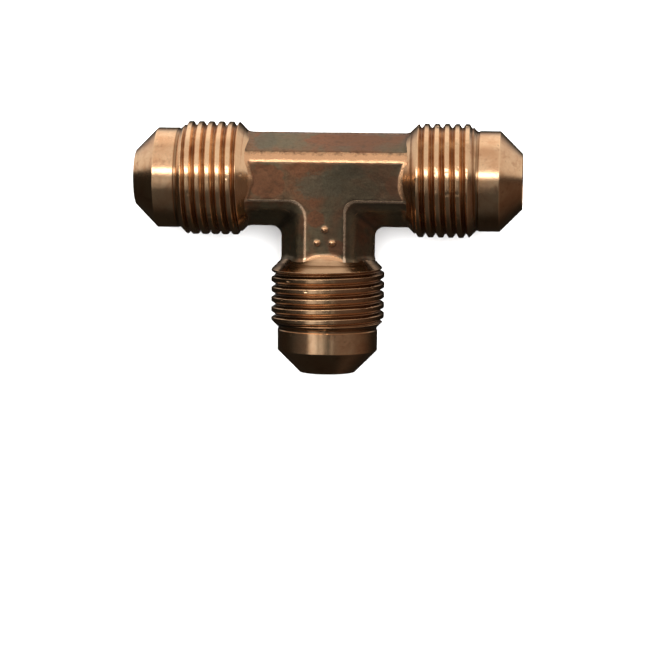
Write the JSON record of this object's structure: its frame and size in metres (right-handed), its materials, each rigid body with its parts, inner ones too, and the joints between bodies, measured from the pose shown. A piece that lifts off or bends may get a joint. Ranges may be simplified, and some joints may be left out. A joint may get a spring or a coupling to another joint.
{
  "type": "flare tee fitting",
  "caption": "Forged brass 45 degree flare union tee with male flare ends on the run and the branch, crossing bores and wrench flats.",
  "frame": {"origin": "where the run's axis and the branch's axis cross", "axes": "+X along the run, the branch points along -Y, +Z out of the front flat with the raised dots"},
  "size_m": [0.054, 0.0349, 0.0158],
  "materials": {
    "forged_brass": "as forged, dull brown patina with worn edges",
    "turned_brass": "turned and threaded, semi-bright, tarnished to copper brown"
  },
  "bodies": {
    "root": {"forged_body": "forged_brass", "left_run_end": "turned_brass", "right_run_end": "turned_brass", "branch_end": "turned_brass"}
  },
  "joints": []
}
